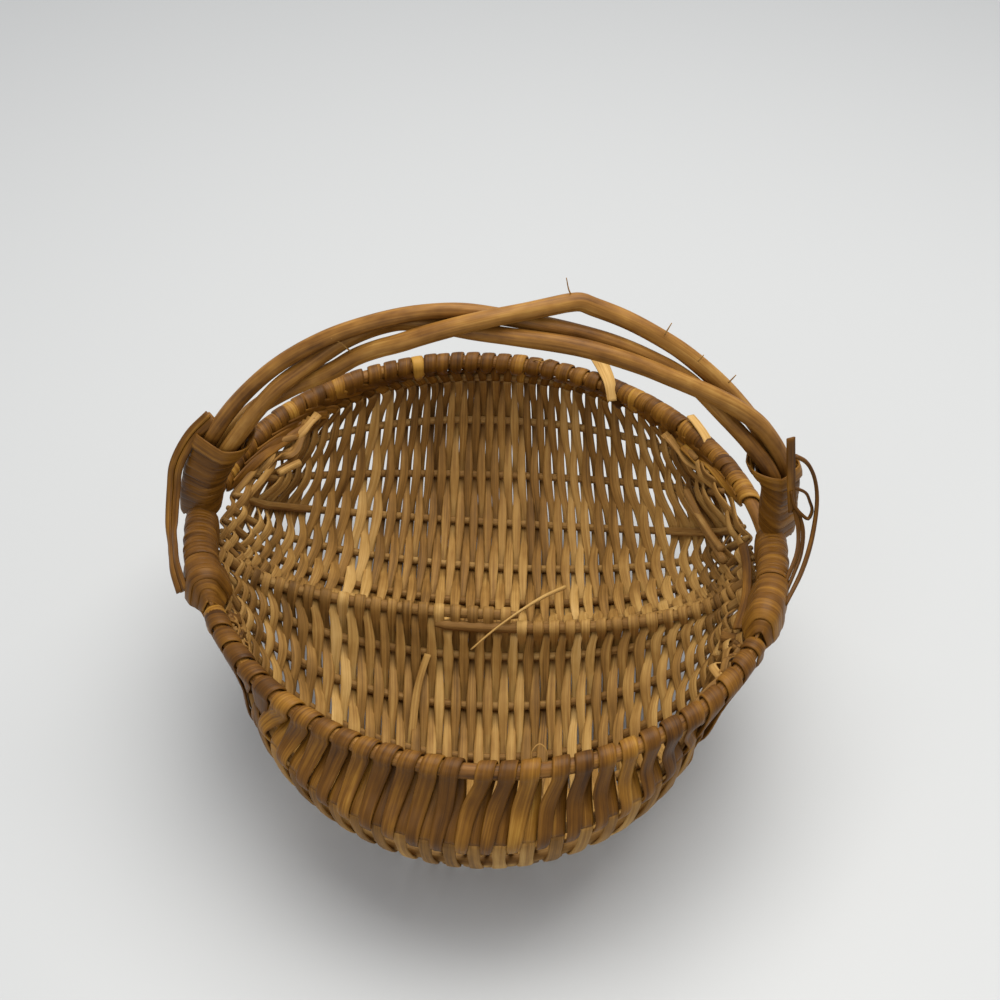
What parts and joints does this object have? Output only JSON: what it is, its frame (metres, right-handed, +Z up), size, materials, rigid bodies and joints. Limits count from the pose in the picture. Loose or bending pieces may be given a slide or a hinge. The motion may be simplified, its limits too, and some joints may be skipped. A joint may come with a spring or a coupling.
{
  "type": "rib basket with two lobes",
  "caption": "Small woven reed basket with a round lashed rim, a raised keel between two rounded lobes, and a twisted rod handle bound into both ears.",
  "frame": {"origin": "on the floor, under the middle of the whole basket's box", "axes": "+X from the left ear to the right ear, +Y to the back lobe, +Z up"},
  "size_m": [0.2266, 0.23, 0.1744],
  "materials": {
    "rod_wood": "peeled round rods, olive brown, satin",
    "rib_reed": "round ribs, honey brown, satin",
    "woven_reed": "split flat weavers, honey tan, satin",
    "wrap_reed": "flat wrapping reed, orange brown, semi-gloss"
  },
  "bodies": {
    "root": {"rim_hoop": "rod_wood", "back_rib_1": "rib_reed", "back_rib_2": "rib_reed", "back_rib_3": "rib_reed", "back_rib_4": "rib_reed", "back_rib_5": "rib_reed", "back_rib_6": "rib_reed", "back_rib_7": "rib_reed", "back_rib_8": "rib_reed", "front_rib_1": "rib_reed", "front_rib_2": "rib_reed", "front_rib_3": "rib_reed", "front_rib_4": "rib_reed", "front_rib_5": "rib_reed", "front_rib_6": "rib_reed", "front_rib_7": "rib_reed", "front_rib_8": "rib_reed", "keel_rod_left": "rib_reed", "keel_rod_right": "rib_reed", "woven_wall_left": "woven_reed", "woven_wall_middle": "woven_reed", "woven_wall_right": "woven_reed", "handle_rod_1": "rod_wood", "handle_rod_2": "rod_wood", "handle_rod_3": "rod_wood", "rim_wrap_back_left": "wrap_reed", "rim_wrap_back_right": "wrap_reed", "rim_wrap_front_left": "wrap_reed", "rim_wrap_front_right": "wrap_reed", "ear_column_wrap_left": "wrap_reed", "ear_foot_wrap_left": "wrap_reed", "handle_lashing_left": "wrap_reed", "ear_column_wrap_right": "wrap_reed", "ear_foot_wrap_right": "wrap_reed", "handle_lashing_right": "wrap_reed", "outer_strap_left": "wrap_reed", "upright_strip_end_right": "wrap_reed", "inner_strip_right": "wrap_reed", "loose_strand_right": "wrap_reed", "loose_rib_right_upper": "rib_reed", "loose_rib_right_lower": "rib_reed"}
  },
  "joints": []
}
